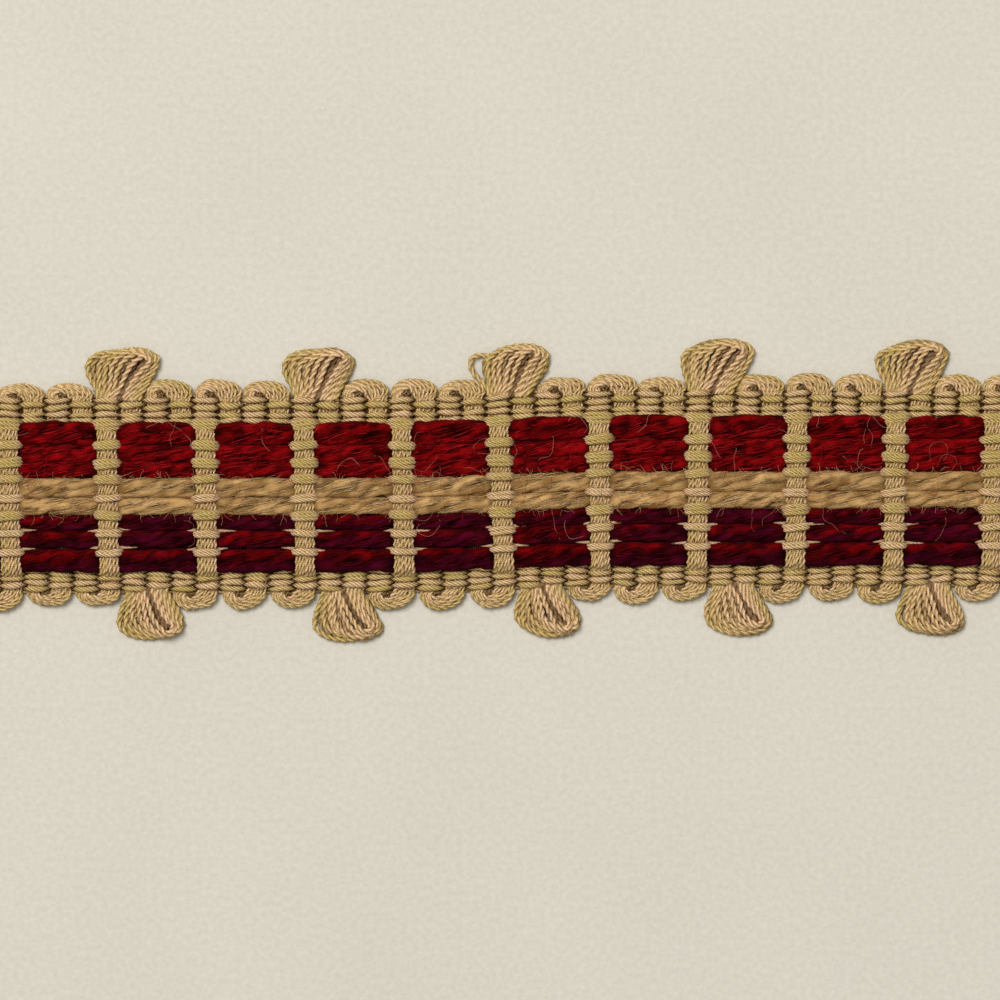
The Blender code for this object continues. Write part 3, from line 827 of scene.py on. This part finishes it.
def make_stray_fibres(name, rows, lengths, half, spacing, count, seed, finish):
    """Loose hairs: a drift in a random direction that bends as it goes, standing a little off the wool."""
    rng = np.random.default_rng(seed)
    steps = np.linspace(0.0, 1.0, 41)[None]
    low, high = rows
    start_u = rng.uniform(-HALF_LENGTH + 4.0, HALF_LENGTH - 4.0, (count, 1))
    start_v = rng.uniform(low, high, (count, 1))
    heading = rng.uniform(0.0, TURN, (count, 1))
    long = rng.uniform(*lengths, (count, 1))
    bend = rng.uniform(-1.0, 1.0, (count, 1)) * long
    curl = heading + bend * steps + wander(rng, count, steps * long, 0.5, 5.0)
    run = long / (steps.shape[1] - 1)
    u = start_u + np.cumsum(run * np.cos(curl), 1)
    v = start_v + np.cumsum(run * np.sin(curl), 1)
    v = np.clip(v, FIELD_FOOT + 0.2, FIELD_TOP + 0.6)
    rib = 0.28 * hump(from_rib(u), 0.0, 1.3)
    z = WOOL_MIDDLE + WOOL_TALL - 0.1 + rib + rng.uniform(0.05, 0.3, (count, 1)) * np.sin(math.pi * steps)
    skein = Skein().add(points(u, v, np.minimum(z, HIGHEST_HAIR)), half, seed + 1, section=FIBRE_SECTION,
                        turn=FIBRE_TURN, spacing=spacing, hue=0.0, tone=rng.uniform(0.2, 1.0, (count, 1)))
    return skein.make(name, finish)


class Socket:
    """A node's output. Arithmetic on it adds Math nodes."""

    def __init__(self, maker, socket):
        self.maker = maker
        self.socket = socket

    def math(self, operation, *values):
        """A Math node on this value and any others."""
        return self.maker.node("ShaderNodeMath", {"operation": operation}, dict(enumerate((self, *values))))

    def __add__(self, other):
        return self.math("ADD", other)

    def __radd__(self, other):
        return self.math("ADD", other)

    def __sub__(self, other):
        return self.math("SUBTRACT", other)

    def __rsub__(self, other):
        return self.maker.node("ShaderNodeMath", {"operation": "SUBTRACT"}, {0: other, 1: self})

    def __mul__(self, other):
        return self.math("MULTIPLY", other)

    def __rmul__(self, other):
        return self.math("MULTIPLY", other)

    def __pow__(self, power):
        return self.math("POWER", power)


class Finish:
    """A material in the making."""

    def __init__(self, name):
        self.material = bpy.data.materials.new(name)
        self.material.use_nodes = True
        self.tree = self.material.node_tree
        self.tree.nodes.clear()

    def node(self, kind, settings=None, values=None, output=0):
        """Add a node: its settings first, then a value or a link for each named or numbered socket."""
        made = self.tree.nodes.new(kind)
        for key, setting in (settings or {}).items():
            setattr(made, key, setting)
        for key, value in (values or {}).items():
            if isinstance(value, Socket):
                self.tree.links.new(value.socket, made.inputs[key])
            else:
                made.inputs[key].default_value = value
        return Socket(self, made.outputs[output])

    def parts(self, vector):
        """The three numbers of a vector or colour."""
        split = self.node("ShaderNodeSeparateXYZ", values={0: vector})
        return [Socket(self, split.socket.node.outputs[i]) for i in range(3)]

    def join(self, x, y, z):
        """A vector from three numbers."""
        return self.node("ShaderNodeCombineXYZ", values={0: x, 1: y, 2: z})

    def noise(self, vector, scale, detail=2.0, rough=0.5):
        """Noise of mean one half at a place."""
        return self.node("ShaderNodeTexNoise", values={"Vector": vector, "Scale": scale, "Detail": detail,
                                                       "Roughness": rough})

    def mix(self, factor, first, second):
        """Between two colours."""
        colour = [value if isinstance(value, Socket) else (*value, 1.0) for value in (first, second)]
        return self.node("ShaderNodeMix", {"data_type": "RGBA", "clamp_factor": True},
                         {0: factor, 6: colour[0], 7: colour[1]}, output=2)

    def scaled(self, colour, amount):
        """A colour times a number."""
        return self.node("ShaderNodeVectorMath", {"operation": "SCALE"}, {0: colour, "Scale": amount})

    def bump(self, height, depth, strength):
        """Relief of the given depth in metres."""
        return self.node("ShaderNodeBump", values={"Height": height, "Distance": depth, "Strength": strength})

    def surface(self, values):
        """Finish with the shader, and give the material."""
        shader = self.node("ShaderNodeBsdfPrincipled", values=values)
        out = self.tree.nodes.new("ShaderNodeOutputMaterial")
        self.tree.links.new(shader.socket, out.inputs["Surface"])
        return self.material


def yarn_places(finish):
    """Length along the yarn in mm, share of a turn, and the dye attribute's hue, tone and depth of painted shade."""
    along, around, _ = finish.parts(finish.node("ShaderNodeUVMap", {"uv_map": "yarn"}))
    dye = finish.node("ShaderNodeAttribute", {"attribute_name": "dye"})
    return along, around, finish.parts(dye)


def thread_finish():
    """Twisted cotton thread: painted shade between its two plies and deep in the weave, lighter and darker fibres
    with painted highlights, hue from the dye.
    """
    finish = Finish("ground_thread_finish")
    along, around, (hue, tone, depth) = yarn_places(finish)
    groove = (0.5 - 0.5 * (around * (2.0 * TURN)).math("COSINE")) ** 2.0
    fibre = finish.noise(finish.join(along * 1.6, around * 7.0, 0.0), 1.0, 3.0, 0.65)
    patch = finish.noise(finish.join(along * 0.35, 0.0, 0.0), 1.0, 2.0)
    colour = finish.mix(hue + (patch - 0.5) * 0.9, PINK_BEIGE, OLIVE_BEIGE)
    # Painted shade in the groove between the two plies
    colour = finish.mix(groove * 0.8, colour, THREAD_SHADE)
    # Lighter and darker fibres; the brightest streaks are painted highlights in place of a gloss
    colour = finish.scaled(colour, 0.3 + fibre * 1.5)
    # Painted shade where a thread lies deep among the others or dives under them
    colour = finish.mix(depth * 0.95, colour, DEEP_SHADE)
    relief = (1.0 - groove) * 0.8 + fibre * 0.6
    return finish.surface({
        "Base Color": colour, "Roughness": 0.6, "Specular IOR Level": 0.05,
        "Normal": finish.bump(relief, 0.09 * MM, 1.0),
    })


def wool_finish(name, dark, bright, other_dark, other_bright, tint, contrast, crease):
    """Wool yarn: streaks of lighter and darker fibre along the plies with painted highlights, painted shade in the
    creases, a faint sheen.
    """
    finish = Finish(name)
    along, around, (hue, tone, depth) = yarn_places(finish)
    streak = finish.noise(finish.join(along * 0.5, around * 5.0, 0.0), 1.0, 3.0, 0.6)
    fibre = finish.noise(finish.join(along * 0.8, around * 24.0, 3.0), 1.0, 3.0, 0.75)
    # Lighter and darker fibres along the plies; the brightest streaks are painted highlights
    fibre_tone_and_highlight = (streak - 0.5) * 1.6 + (fibre - 0.5) * contrast + tone * 0.8 + 0.1
    first = finish.mix(fibre_tone_and_highlight, dark, bright)
    second = finish.mix(fibre_tone_and_highlight, other_dark, other_bright)
    colour = finish.mix(hue + (streak - 0.5) * 0.9, first, second)
    # Painted shade in the creases, on the flanks and by the ribs
    colour = finish.scaled(colour, 1.0 - depth * crease)
    relief = streak * 0.6 + fibre * 1.0
    return finish.surface({
        "Base Color": colour, "Roughness": 0.9, "Specular IOR Level": 0.03, "Sheen Weight": 0.06,
        "Sheen Roughness": 0.5, "Sheen Tint": (*tint, 1.0), "Normal": finish.bump(relief, 0.075 * contrast * MM, 1.0),
    })


def hair_finish(name, dark, bright):
    """Single fibres, each a little lighter or darker than the next, darkened by their depth of painted shade."""
    finish = Finish(name)
    _, _, (_, tone, depth) = yarn_places(finish)
    # Painted shade by depth
    colour = finish.scaled(finish.mix(tone, dark, bright), 1.0 - depth * 0.9)
    return finish.surface({"Base Color": colour, "Roughness": 0.7, "Specular IOR Level": 0.05})


def cloth_finish():
    """Close plain weave seen between the threads: fine ribs both ways in beige darkened as painted shade."""
    finish = Finish("ground_cloth_painted_shade_finish")
    x, y, _ = finish.parts(finish.node("ShaderNodeTexCoord", output=3))
    weave = ((x * (TURN / (0.31 * MM))).math("SINE") * (y * (TURN / (0.45 * MM))).math("SINE")) * 0.5 + 0.5
    # Both colours are painted shade: the cloth shows only in the gaps between threads
    colour = finish.mix(weave, CLOTH_SHADE, CLOTH_BEIGE_IN_PAINTED_SHADE)
    return finish.surface({"Base Color": colour, "Roughness": 0.9, "Specular IOR Level": 0.1,
                           "Normal": finish.bump(weave, 0.1 * MM, 0.6)})


def paper_finish():
    """Warm white paper with a faint tooth."""
    finish = Finish("paper_finish")
    place = finish.node("ShaderNodeTexCoord", output=3)
    tooth = finish.noise(place, 1800.0, 3.0, 0.6)
    cloud = finish.noise(place, 45.0, 2.0)
    colour = finish.mix(cloud * 0.25 + tooth * 0.75, PAPER_LOW, PAPER_HIGH)
    return finish.surface({"Base Color": colour, "Roughness": 0.9, "Specular IOR Level": 0.2,
                           "Normal": finish.bump(tooth, 0.06 * MM, 0.35)})


def add_light_and_camera():
    """A wide lamp over the upper left, a pale sky for the rest, and the camera straight above."""
    scene = bpy.context.scene
    scene.view_settings.view_transform = "Standard"
    scene.cycles.use_denoising = False
    world = bpy.data.worlds.new("studio")
    scene.world = world
    world.use_nodes = True
    sky = world.node_tree.nodes["Background"]
    sky.inputs["Color"].default_value = (*SKY_COLOUR, 1.0)
    sky.inputs["Strength"].default_value = SKY_STRENGTH
    lamp = bpy.data.lights.new("key_light", "AREA")
    lamp.energy = KEY_POWER
    lamp.size = KEY_WIDTH
    key = bpy.data.objects.new("key_light", lamp)
    key.location = KEY_PLACE
    x, y, z = KEY_PLACE
    key.rotation_euler = (math.atan2(math.hypot(x, y), z), 0.0, math.atan2(y, x) + math.pi / 2)
    scene.collection.objects.link(key)
    lens = bpy.data.cameras.new("camera")
    lens.lens = CAMERA_LENS
    lens.sensor_width = 36.0
    lens.clip_start = 0.01
    camera = bpy.data.objects.new("camera", lens)
    camera.location = (*PICTURE_MIDDLE, CAMERA_HEIGHT)
    scene.collection.objects.link(camera)
    scene.camera = camera


def add_paper():
    """The sheet of paper that the trim lies on."""
    corners = PAPER_REACH * np.array([(-1.0, -1.0, 0.0), (1.0, -1.0, 0.0), (1.0, 1.0, 0.0), (-1.0, 1.0, 0.0)])
    mesh = mesh_from_arrays("paper", corners, np.arange(4), np.array([4]))
    add_piece("paper", mesh, paper_finish())


def settle(piece, slot, *nodes):
    """The piece rides on the trim and stands for the named solids; its slot is not used."""
    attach(piece, "root")
    if nodes:
        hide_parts(*nodes)
    return piece


def main():
    thread = thread_finish()
    ground = [
        settle(make_rib_wefts(thread), "ground_thread", "ground_band"),
        settle(make_ground_picks(thread), "ground_thread", "ground_band"),
        settle(make_rib_beads(thread), "ground_thread", "ground_band"),
        settle(make_back_warps(thread), "ground_thread", "ground_band"),
        settle(make_border_warps("border_warps_upper", UPPER_WARPS, 41, thread), "ground_thread",
               "ground_band", "selvedge_upper"),
        settle(make_border_warps("border_warps_lower", LOWER_WARPS, 45, thread), "ground_thread",
               "ground_band", "selvedge_lower"),
    ]
    for number, (name, edge) in enumerate(SELVEDGES.items()):
        seed = 60 + 20 * number
        ground.append(settle(make_scallops("scallops_" + name, edge, seed, thread), "ground_thread", edge["node"]))
        ground.append(settle(make_fans("fans_" + name, edge, seed + 10, thread), "ground_thread", edge["node"]))
    cloth = settle(make_ground_cloth(cloth_finish()), "ground_thread", "ground_band")

    red = wool_finish("red_wool_finish", RED_DARK, RED_BRIGHT, RED_DARK, RED_BRIGHT, *RED_LOOK)
    tan = wool_finish("tan_wool_finish", TAN_DARK, TAN_BRIGHT, TAN_DARK, TAN_BRIGHT, *TAN_LOOK)
    maroon = wool_finish("maroon_wool_finish", MAROON_DARK, MAROON_BRIGHT, PURPLE_DARK, PURPLE_BRIGHT,
                         *MAROON_LOOK)
    wools = {"red": (red, plain_hue), "tan": (tan, plain_hue), "maroon": (maroon, two_dyes)}
    for number, (node, place, half, first) in enumerate(WOOL):
        dye = node.split("_")[1]
        finish, hue = wools[dye]
        settle(make_wool(node, place, half, first, 100 + 7 * number, finish, hue), "wool_" + dye, node)

    red_hair = hair_finish("red_hair_finish", *RED_HAIR)
    tan_hair = hair_finish("tan_hair_finish", *TAN_HAIR)
    maroon_hair = hair_finish("maroon_hair_finish", *MAROON_HAIR)
    pale_hair = hair_finish("pale_hair_finish", *PALE_HAIR)
    settle(make_surface_fibres("red_surface_fibres", WOOL[:3], 1900, 201, red_hair), "wool_red")
    settle(make_surface_fibres("tan_surface_fibres", WOOL[3:5], 1200, 211, tan_hair), "wool_tan")
    settle(make_surface_fibres("maroon_surface_fibres", WOOL[5:], 1700, 221, maroon_hair), "wool_maroon")
    settle(make_stray_fibres("pale_stray_fibres", (-3.0, 6.5), (2.0, 6.5), HAIR_HALF, HAIR_STEP, 60, 231,
                             pale_hair), "wool_tan")
    settle(make_stray_fibres("red_stray_fibres", (-2.0, 3.0), (2.0, 6.0), HAIR_HALF, HAIR_STEP, 50, 241,
                             red_hair), "wool_red")
    for number, rows in enumerate(FUZZ_ROWS):
        settle(make_stray_fibres("tan_edge_fibres_" + str(number + 1), rows, (0.3, 1.4), FUZZ_HALF, FUZZ_STEP,
                                 FUZZ_COUNT, 251 + number, tan_hair), "wool_tan")

    add_paper()
    add_light_and_camera()


main()
